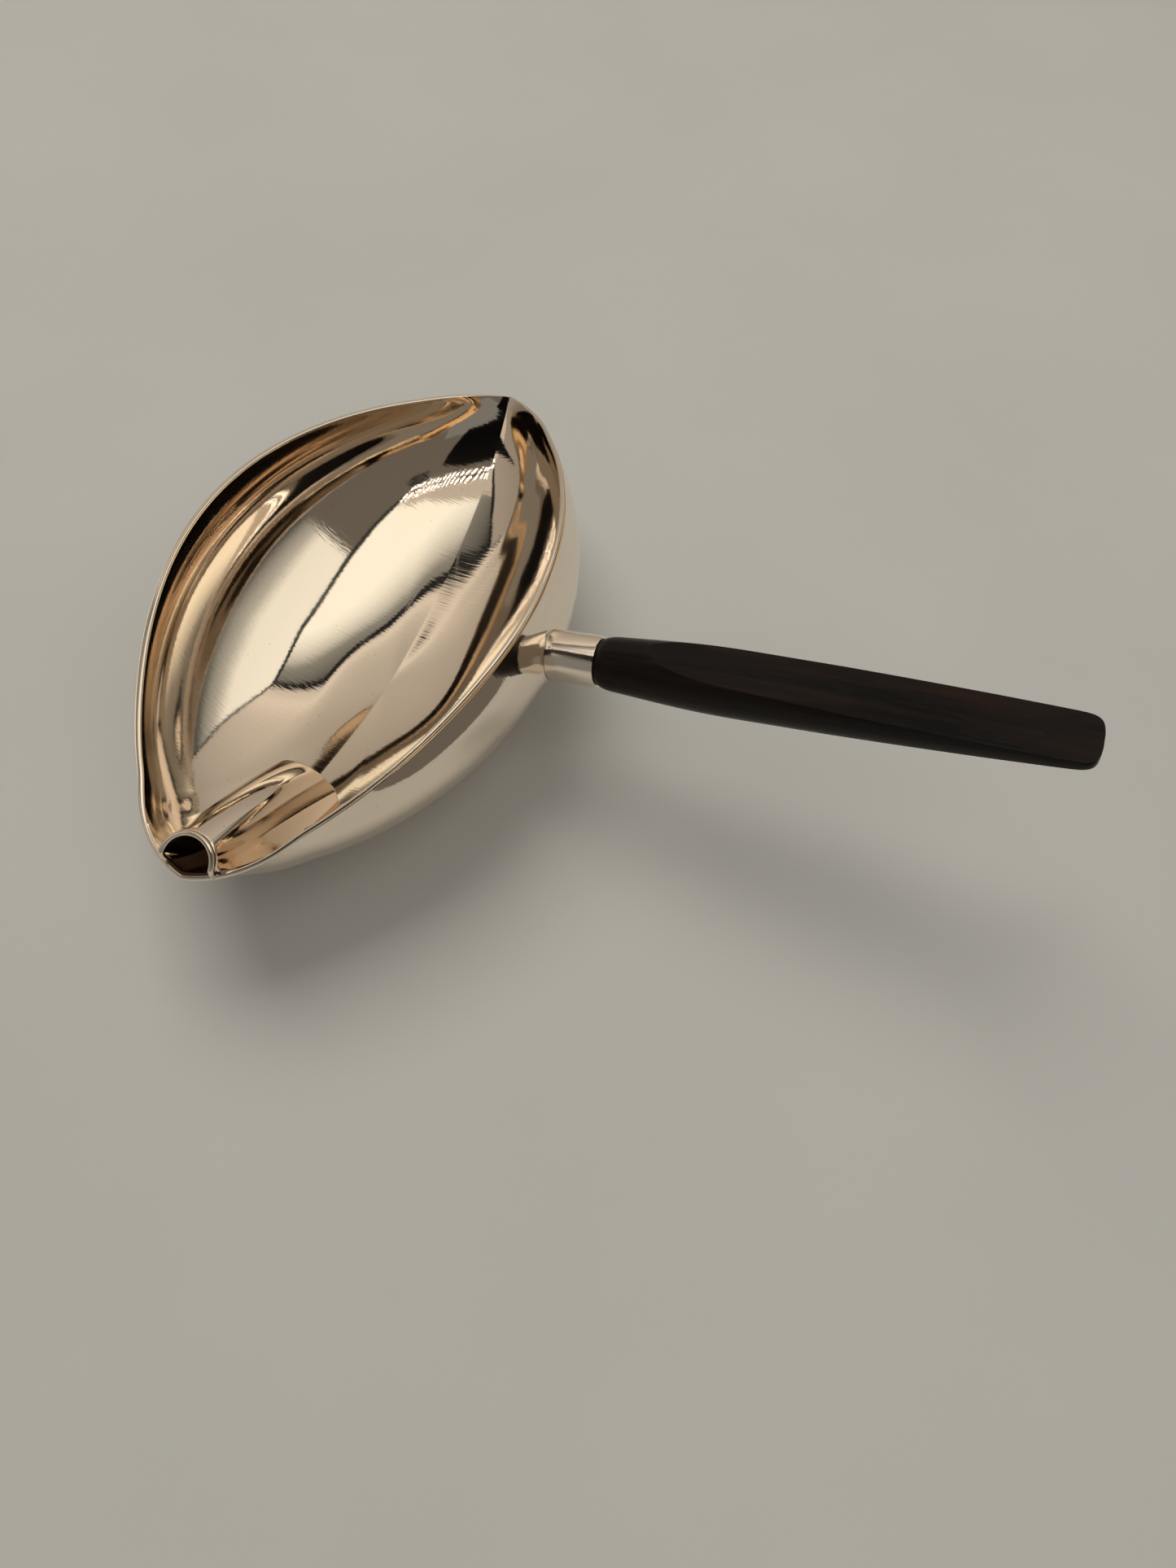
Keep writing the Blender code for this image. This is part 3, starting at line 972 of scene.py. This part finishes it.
def dark_wood(name, wood, streak):
    """Oiled dark rosewood with long streaks and open pores along the grip."""
    material, tree, shader, place = principled(name)
    tilt = (0.0, math.radians(HANDLE_TILT), 0.0)
    lie = mapped(tree, -1100, 0, place, (1.0, 1.0, 1.0), tilt)
    stretch = mapped(tree, -880, 200, lie, BAND_STRETCH)
    bands = noise(tree, -660, 200, stretch, 2.2, 7.0, Roughness=0.62, Distortion=0.5)
    grain = ramped(tree, -420, 200, bands, ((0.42, wood), (0.72, streak)))
    pores = noise(tree, -660, -200, mapped(tree, -880, -200, lie, PORE_STRETCH), 1.0, 2.0)
    pores = ranged(tree, -420, -200, pores, *PORE_EDGE)
    rough = node(tree, "ShaderNodeMapRange", -160, -60, {"Value": bands})
    feed(tree, rough, {"To Min": WOOD_ROUGHNESS[0], "To Max": WOOD_ROUGHNESS[1]})
    height = {"Height": pores, "Distance": PORE_DEPTH, "Strength": 0.6}
    bump = node(tree, "ShaderNodeBump", -160, -320, height, invert=True)
    colour = mixed(tree, -160, 160, pores, grain, PORE_COLOUR)
    feed(tree, shader, {"Base Color": colour, "IOR": WOOD_IOR})
    feed(tree, shader, {"Roughness": rough.outputs["Result"]})
    feed(tree, shader, {"Normal": bump.outputs["Normal"]})
    return material


def glow(name, colour, strength):
    material = bpy.data.materials.new(name)
    material.use_nodes = True
    tree = material.node_tree
    tree.nodes.clear()
    light = node(tree, "ShaderNodeEmission", 0, 0, {"Color": (*colour, 1.0), "Strength": strength})
    node(tree, "ShaderNodeOutputMaterial", 200, 0, {"Surface": light.outputs["Emission"]})
    return material


def graded_glow(name, colour, strength, direction, reach, stops):
    """A glow that changes along one direction; reach is in metres, stops are shares."""
    material = glow(name, colour, strength)
    tree = material.node_tree
    place = node(tree, "ShaderNodeTexCoord", -900, 0).outputs["Object"]
    product = {0: place, 1: direction}
    along = node(tree, "ShaderNodeVectorMath", -700, 0, product, operation="DOT_PRODUCT")
    share = ranged(tree, -500, 0, along.outputs["Value"], *reach)
    levels = [(stop, [channel * level for channel in colour]) for stop, level in stops]
    feed(tree, tree.nodes["Emission"], {"Color": ramped(tree, -300, 0, share, levels)})
    return material


def paper(name, colour):
    """Matt pale paper with faint mottling."""
    material, tree, shader, place = principled(name)
    mottle = noise(tree, -600, 0, place, MOTTLE_SCALE, 5.0)
    darker = [channel * MOTTLE_SHADE for channel in colour]
    tone = ramped(tree, -380, 0, mottle, ((0.3, darker), (0.7, colour)))
    feed(tree, shader, {"Base Color": tone, "Roughness": PAPER_ROUGHNESS})
    return material


# ---------------------------------------------------------------- operators


class SAUCEBOAT_OT_bowl(bpy.types.Operator):
    """Add the almond-shaped bowl in one thin wall"""

    bl_idname = "sauceboat.bowl"
    bl_label = "Bowl"

    def execute(self, context):
        bowl = context.scene.sauceboat_bowl
        points = bowl_points(bowl.columns, bowl.wall / MM, bowl.bead / MM)
        obj = rolled_sheet("bowl", points)
        shade(obj, 60.0)
        fit_out(obj, silver("bowl_silver_look", bowl.tint), "bowl_silver", "bowl_shell")
        # Darkens the faces inside the covered spout: painted shade
        paint_tube_shade(obj)
        return {"FINISHED"}


class SAUCEBOAT_OT_rim(bpy.types.Operator):
    """Add the rounded bead along the rim"""

    bl_idname = "sauceboat.rim"
    bl_label = "Rim bead"

    def execute(self, context):
        bowl = context.scene.sauceboat_bowl
        path, outward = rim_path(2 * bowl.columns, bowl.wall / MM, bowl.bead / MM)
        angle = np.linspace(0.0, 2.0 * math.pi, WIRE_SIDES + 1)[:, None, None]
        ring = np.cos(angle) * outward + np.sin(angle) * np.array(UP)
        rings = path + ring * (bowl.bead / MM)
        obj = rolled_sheet("rim_bead", rings)
        shade(obj, 60.0)
        fit_out(obj, silver("rim_silver_look", bowl.tint), "wire_silver", "rim_wire")
        return {"FINISHED"}


class SAUCEBOAT_OT_hood(bpy.types.Operator):
    """Add the hood that turns one end of the bowl into a tube spout"""

    bl_idname = "sauceboat.hood"
    bl_label = "Spout hood"

    def execute(self, context):
        bowl = context.scene.sauceboat_bowl
        spout = context.scene.sauceboat_spout
        rings = []
        for share in np.linspace(0.0, 1.0, HOOD_STEPS + 1):
            outer = arch_section(share, 0.0, HOOD_STEPS)
            inner = arch_section(share, spout.wall / MM, HOOD_STEPS)
            rings.append(np.concatenate([outer, inner[::-1], outer[:1]]))
        obj = rolled_sheet("spout_cover", np.array(rings))
        close_ends(obj)
        soften(obj, HOOD_EDGE, 50.0)
        turn = turns(bowl.columns)
        wall = hull_inside(turn, np.linspace(1.0, 0.0, TRIM_ROWS), 0.5 * bowl.wall / MM)
        outward = hull_normal(turn, np.array([UNDER_RIM])) * (1.0, 1.0, 0.0)
        ledge = wall[-1:] + outward * TRIM_LEDGE + TRIM_STEP
        high = ledge * (1.0, 1.0, 0.0) + TRIM_LID
        lid = high * 0.0 + TRIM_LID
        inside = rolled_sheet("inside_of_bowl", np.concatenate([wall, ledge, high, lid]))
        choose(obj)
        trim = obj.modifiers.new("Trim to bowl", "BOOLEAN")
        trim.operation = "INTERSECT"
        trim.object = inside
        bpy.ops.object.modifier_apply(modifier=trim.name)
        bpy.data.objects.remove(inside, do_unlink=True)
        shade(obj, 40.0)
        fit_out(obj, silver("hood_silver_look", bowl.tint), "hood_silver", "spout_hood")
        # Darkens the faces inside the covered spout: painted shade
        paint_tube_shade(obj)
        return {"FINISHED"}


class SAUCEBOAT_OT_mouth(bpy.types.Operator):
    """Add the wire that finishes the mouth of the spout"""

    bl_idname = "sauceboat.mouth"
    bl_label = "Spout mouth wire"

    def execute(self, context):
        bowl = context.scene.sauceboat_bowl
        spout = context.scene.sauceboat_spout
        lean = math.radians(MOUTH_LEAN)
        angle = np.linspace(0.0, math.pi, ARCH_POINTS)
        radius = MOUTH_RADIUS - spout.wire / MM
        rise = radius * np.sin(angle)
        arch = np.stack(
            [
                radius * np.cos(angle),
                MOUTH_CENTRE[0] + rise * math.sin(lean),
                MOUTH_CENTRE[1] + rise * math.cos(lean),
            ],
            axis=1,
        )
        feet = np.array(MOUTH_FEET)
        path = np.concatenate([feet[::-1], arch, feet * (-1.0, 1.0, 1.0)])
        square = np.array((0.0, math.cos(lean), -math.sin(lean)))
        rings = wire_points(path, spout.wire / MM, square)
        obj = rolled_sheet("mouth_ring", rings.transpose(1, 0, 2))
        close_ends(obj)
        shade(obj, 50.0)
        fit_out(obj, silver("mouth_silver_look", bowl.tint), "edge_silver", "spout_mouth_wire")
        return {"FINISHED"}


class SAUCEBOAT_OT_socket(bpy.types.Operator):
    """Add the tube that holds the handle, the neck it is soldered to and its pin"""

    bl_idname = "sauceboat.socket"
    bl_label = "Handle socket"

    def execute(self, context):
        bowl = context.scene.sauceboat_bowl
        obj = rolled_sheet("handle_tube", turned_points(SOCKET_OUTLINE, SOCKET_SIDES))
        shade(obj, 35.0)
        material = silver("socket_silver_look", bowl.tint)
        fit_out(obj, material, "socket_silver", "handle_socket")
        neck = rolled_sheet("handle_neck", neck_points(bpy.data.objects["bowl"]))
        shade(neck, 60.0)
        fit_out(neck, material, "socket_silver")
        pin = turned_points(PIN_OUTLINE, PIN_SIDES)
        lift = on_axis(np.zeros(3))
        turn = Matrix.Rotation(math.radians(PIN_TURN), 3, "Z")
        matrix = axis_matrix().to_3x3()
        lean = np.array(matrix @ turn @ Euler((0.0, math.radians(90.0), 0.0)).to_matrix())
        own = (pin - lift) @ np.array(matrix)
        out = np.array(matrix @ (turn @ Vector((SOCKET_RADIUS, 0.0, 0.0))))
        seat = on_axis(np.array((0.0, 0.0, PIN_AT))) + out
        dot = rolled_sheet("handle_pin_end", own @ lean.T + seat)
        shade(dot, 40.0)
        fit_out(dot, silver("pin_silver_look", bowl.tint), "pin_silver", "handle_pin")
        return {"FINISHED"}


class SAUCEBOAT_OT_grip(bpy.types.Operator):
    """Add the turned wooden grip with its two long flats"""

    bl_idname = "sauceboat.grip"
    bl_label = "Wooden grip"

    def execute(self, context):
        handle = context.scene.sauceboat_handle
        obj = rolled_sheet("wooden_grip", grip_points())
        close_ends(obj)
        soften(obj, handle.arris, 14.0)
        shade(obj, 20.0)
        material = dark_wood("dark_wood_look", handle.wood, handle.streak)
        fit_out(obj, material, "dark_wood", "handle_grip")
        return {"FINISHED"}


# ---------------------------------------------------------------- stage, in metres


def panel(name, corners, material):
    """One flat sheet on four corners that shows only in reflections."""
    select_none()
    bpy.ops.mesh.primitive_plane_add(size=2.0, location=(0.0, 0.0, 0.0))
    obj = bpy.context.object
    obj.name = name
    for vertex in obj.data.vertices:
        right = vertex.co.x > 0.0
        upper = vertex.co.y > 0.0
        vertex.co = corners[(2 if upper else 1) if right else (3 if upper else 0)]
    obj.data.materials.append(material)
    obj.visible_camera = False
    obj.visible_diffuse = False
    obj.visible_shadow = False


def strip(name, first, last, width, across, material):
    """A narrow flat strip from one point to another."""
    side = Vector(across).normalized() * width * 0.5
    first = Vector(first)
    last = Vector(last)
    panel(name, (first - side, last - side, last + side, first + side), material)


def raised(corner, height):
    return Vector((corner[0], corner[1], height))


def level_sheet(name, sides, layer, material):
    """A level sheet of the tent between its left, front, right and back sides."""
    left, front, right, back = sides
    corners = ((left, front), (right, front), (right, back), (left, back))
    height = CEILING_HEIGHT + LAYERS[layer]
    panel(name, [raised(corner, height) for corner in corners], material)


def wall_of(side):
    """The wall that a side of the ceiling's edge belongs to."""
    return [name for name, first in WALLS_FROM.items() if first <= side][-1]


class SAUCEBOAT_OT_stage(bpy.types.Operator):
    """Add the floor, the soft light, the tent that the silver reflects and the camera"""

    bl_idname = "sauceboat.stage"
    bl_label = "Stage and light"

    def execute(self, context):
        stage = context.scene.sauceboat_stage
        select_none()
        bpy.ops.mesh.primitive_plane_add(size=6.0, location=(0.0, 0.0, 0.0))
        floor = bpy.context.object
        floor.name = "floor"
        floor.data.materials.append(paper("floor_paper", stage.floor))
        self.add_ceiling(stage)
        self.add_walls(stage)
        self.add_small_lamps()
        shadow = glow("camera_shape", SHADOW_COLOUR, SHADOW_GLOW)
        panel("dark_camera", SHADOW_SHAPE, shadow)
        panel("dark_arm", ARM_SHAPE, shadow)
        self.add_soft_lamps(stage)
        self.add_camera(context)
        world = bpy.data.worlds.new("dim_room")
        world.use_nodes = True
        room = {"Color": (*ROOM_COLOUR, 1.0), "Strength": stage.fill}
        feed(world.node_tree, world.node_tree.nodes["Background"], room)
        context.scene.world = world
        context.scene.view_settings.view_transform = "Standard"
        return {"FINISHED"}

    def add_ceiling(self, stage):
        fade = (CEILING_FADES_TOWARD, CEILING_FADES_OVER, CEILING_FADE)
        light = graded_glow("ceiling_light", WARM, stage.ceiling, *fade)
        level_sheet("tent_ceiling", CEILING_SIDES, "ceiling", light)
        light = glow("ceiling_front_light", TAN, FRONT_SHARE * stage.ceiling)
        level_sheet("tent_ceiling_front", FRONT_SIDES, "front", light)

    def add_walls(self, stage):
        reach = (0.0, CEILING_HEIGHT)
        lights = {}
        for name, (colour, fade) in WALL_FADES.items():
            lights[name] = graded_glow(name + "_light", colour, stage.walls, UP, reach, fade)
        lights["corner"] = glow("corner_light", TAN, CORNER_SHARE * stage.walls)
        dark = glow("tent_seam", SEAM_COLOUR, SEAM_GLOW)
        self.add_corner_seams(dark)
        leaning = CEILING_EDGE[WALLS_FROM["back"]]
        edge = CEILING_HEIGHT + LAYERS["walls"]
        seam = CEILING_HEIGHT + LAYERS["seams"]
        for i, first in enumerate(CEILING_EDGE):
            last = CEILING_EDGE[(i + 1) % len(CEILING_EDGE)]
            name = wall_of(i)
            if name == "front":
                lower = [(x, FRONT_EDGE, edge) for x in FRONT_SPREAD]
            else:
                feet = [LEANING_FOOT if end == leaning else end for end in (first, last)]
                lower = [raised(foot, FLOOR_GAP) for foot in feet]
            corners = (*lower, raised(last, edge), raised(first, edge))
            panel(f"tent_{name}_{i}", corners, lights["corner" if i == 0 else name])
            across = (last[1] - first[1], first[0] - last[0], 0.0)
            width = BACK_SEAM_WIDTH if name == "back" else SEAM_WIDTH
            strip(f"seam_{i}", raised(first, seam), raised(last, seam), width, across, dark)
        light = glow("left_front_light", TAN, LEFT_FRONT_SHARE * stage.walls)
        level_sheet("tent_left_front", LEFT_FRONT_SIDES, "left_front", light)
        near = CEILING_EDGE[0]
        low = (raised(near, FLOOR_GAP), raised(FRONT_RIGHT_END, FLOOR_GAP))
        high = (raised(FRONT_RIGHT_END, CEILING_HEIGHT), raised(near, CEILING_HEIGHT))
        panel("tent_front_right", low + high, lights["corner"])

    def add_corner_seams(self, dark):
        for name in ("right", "back", "left"):
            corner = CEILING_EDGE[WALLS_FROM[name]]
            foot = Vector((corner[0], corner[1], 0.0)) * CORNER_SEAM_IN
            low = raised(foot, CORNER_SEAM_FROM)
            if name == "back":
                low = raised(LEANING_FOOT, FLOOR_GAP)
            high = raised(foot, CEILING_HEIGHT)
            across = (-corner[1], corner[0], 0.0)
            strip(name + "_corner_seam", low, high, CORNER_SEAM_WIDTH, across, dark)

    def add_small_lamps(self):
        lamp = glow("lamp_light", LAMP_COLOUR, LAMP_GLOW)
        height = CEILING_HEIGHT + LAYERS["lamps"]
        for first, last in zip(LAMP_ROW, LAMP_ROW[1:]):
            count = int(math.dist(first, last) / LAMP_PITCH)
            for step in range(count):
                x = mix(first[0], last[0], step / count)
                y = mix(first[1], last[1], step / count)
                for row in (0.0, LAMP_SECOND_ROW):
                    left = (x - LAMP_HALF_LENGTH, y + row, height)
                    right = (x + LAMP_HALF_LENGTH, y + row, height)
                    strip("lamp_square", left, right, LAMP_WIDTH, (0.0, 1.0, 0.0), lamp)

    def add_soft_lamps(self, stage):
        for name, place, size, share in SOFT_LAMPS:
            bpy.ops.object.light_add(type="AREA", location=place)
            lamp = bpy.context.object
            lamp.name = name
            lamp.rotation_euler = Vector(place).to_track_quat("Z", "Y").to_euler()
            lamp.data.size = size
            lamp.data.energy = share * stage.key
            lamp.data.color = SOFT_LAMP_COLOUR
            lamp.visible_glossy = False

    def add_camera(self, context):
        data = bpy.data.cameras.new("camera")
        data.sensor_fit = "AUTO"
        data.sensor_width = SENSOR_WIDTH
        data.lens = CAMERA_LENS
        data.clip_start = CAMERA_NEAR
        camera = bpy.data.objects.new("camera", data)
        context.scene.collection.objects.link(camera)
        axes = (Vector(CAMERA_RIGHT), -Vector(CAMERA_DOWN), -Vector(CAMERA_AHEAD))
        turn = Matrix(axes).transposed().to_4x4()
        camera.matrix_world = Matrix.Translation(CAMERA_PLACE) @ turn
        context.scene.camera = camera


class SAUCEBOAT_PT_panel(bpy.types.Panel):
    """Lists the pieces of the sauce boat"""

    bl_label = "Sauce Boat"
    bl_idname = "SAUCEBOAT_PT_panel"
    bl_space_type = "VIEW_3D"
    bl_region_type = "UI"
    bl_category = "Sauce Boat"

    def draw(self, context):
        for group in SETTINGS:
            settings = getattr(context.scene, group)
            for name in settings.__annotations__:
                self.layout.prop(settings, name)
        for operator in OPERATORS:
            self.layout.operator(operator.bl_idname)


SETTINGS = {
    "sauceboat_bowl": SAUCEBOAT_PG_bowl,
    "sauceboat_spout": SAUCEBOAT_PG_spout,
    "sauceboat_handle": SAUCEBOAT_PG_handle,
    "sauceboat_stage": SAUCEBOAT_PG_stage,
}
OPERATORS = (
    SAUCEBOAT_OT_bowl,
    SAUCEBOAT_OT_rim,
    SAUCEBOAT_OT_hood,
    SAUCEBOAT_OT_mouth,
    SAUCEBOAT_OT_socket,
    SAUCEBOAT_OT_grip,
    SAUCEBOAT_OT_stage,
)


def register():
    for name, group in SETTINGS.items():
        bpy.utils.register_class(group)
        setattr(bpy.types.Scene, name, bpy.props.PointerProperty(type=group))
    for operator in OPERATORS:
        bpy.utils.register_class(operator)
    bpy.utils.register_class(SAUCEBOAT_PT_panel)


def unregister():
    bpy.utils.unregister_class(SAUCEBOAT_PT_panel)
    for operator in reversed(OPERATORS):
        bpy.utils.unregister_class(operator)
    for name, group in SETTINGS.items():
        delattr(bpy.types.Scene, name)
        bpy.utils.unregister_class(group)


def main():
    register()
    bpy.ops.sauceboat.bowl()
    bpy.ops.sauceboat.rim()
    bpy.ops.sauceboat.hood()
    bpy.ops.sauceboat.mouth()
    bpy.ops.sauceboat.socket()
    bpy.ops.sauceboat.grip()
    bpy.ops.sauceboat.stage()


if __name__ == "__main__":
    main()
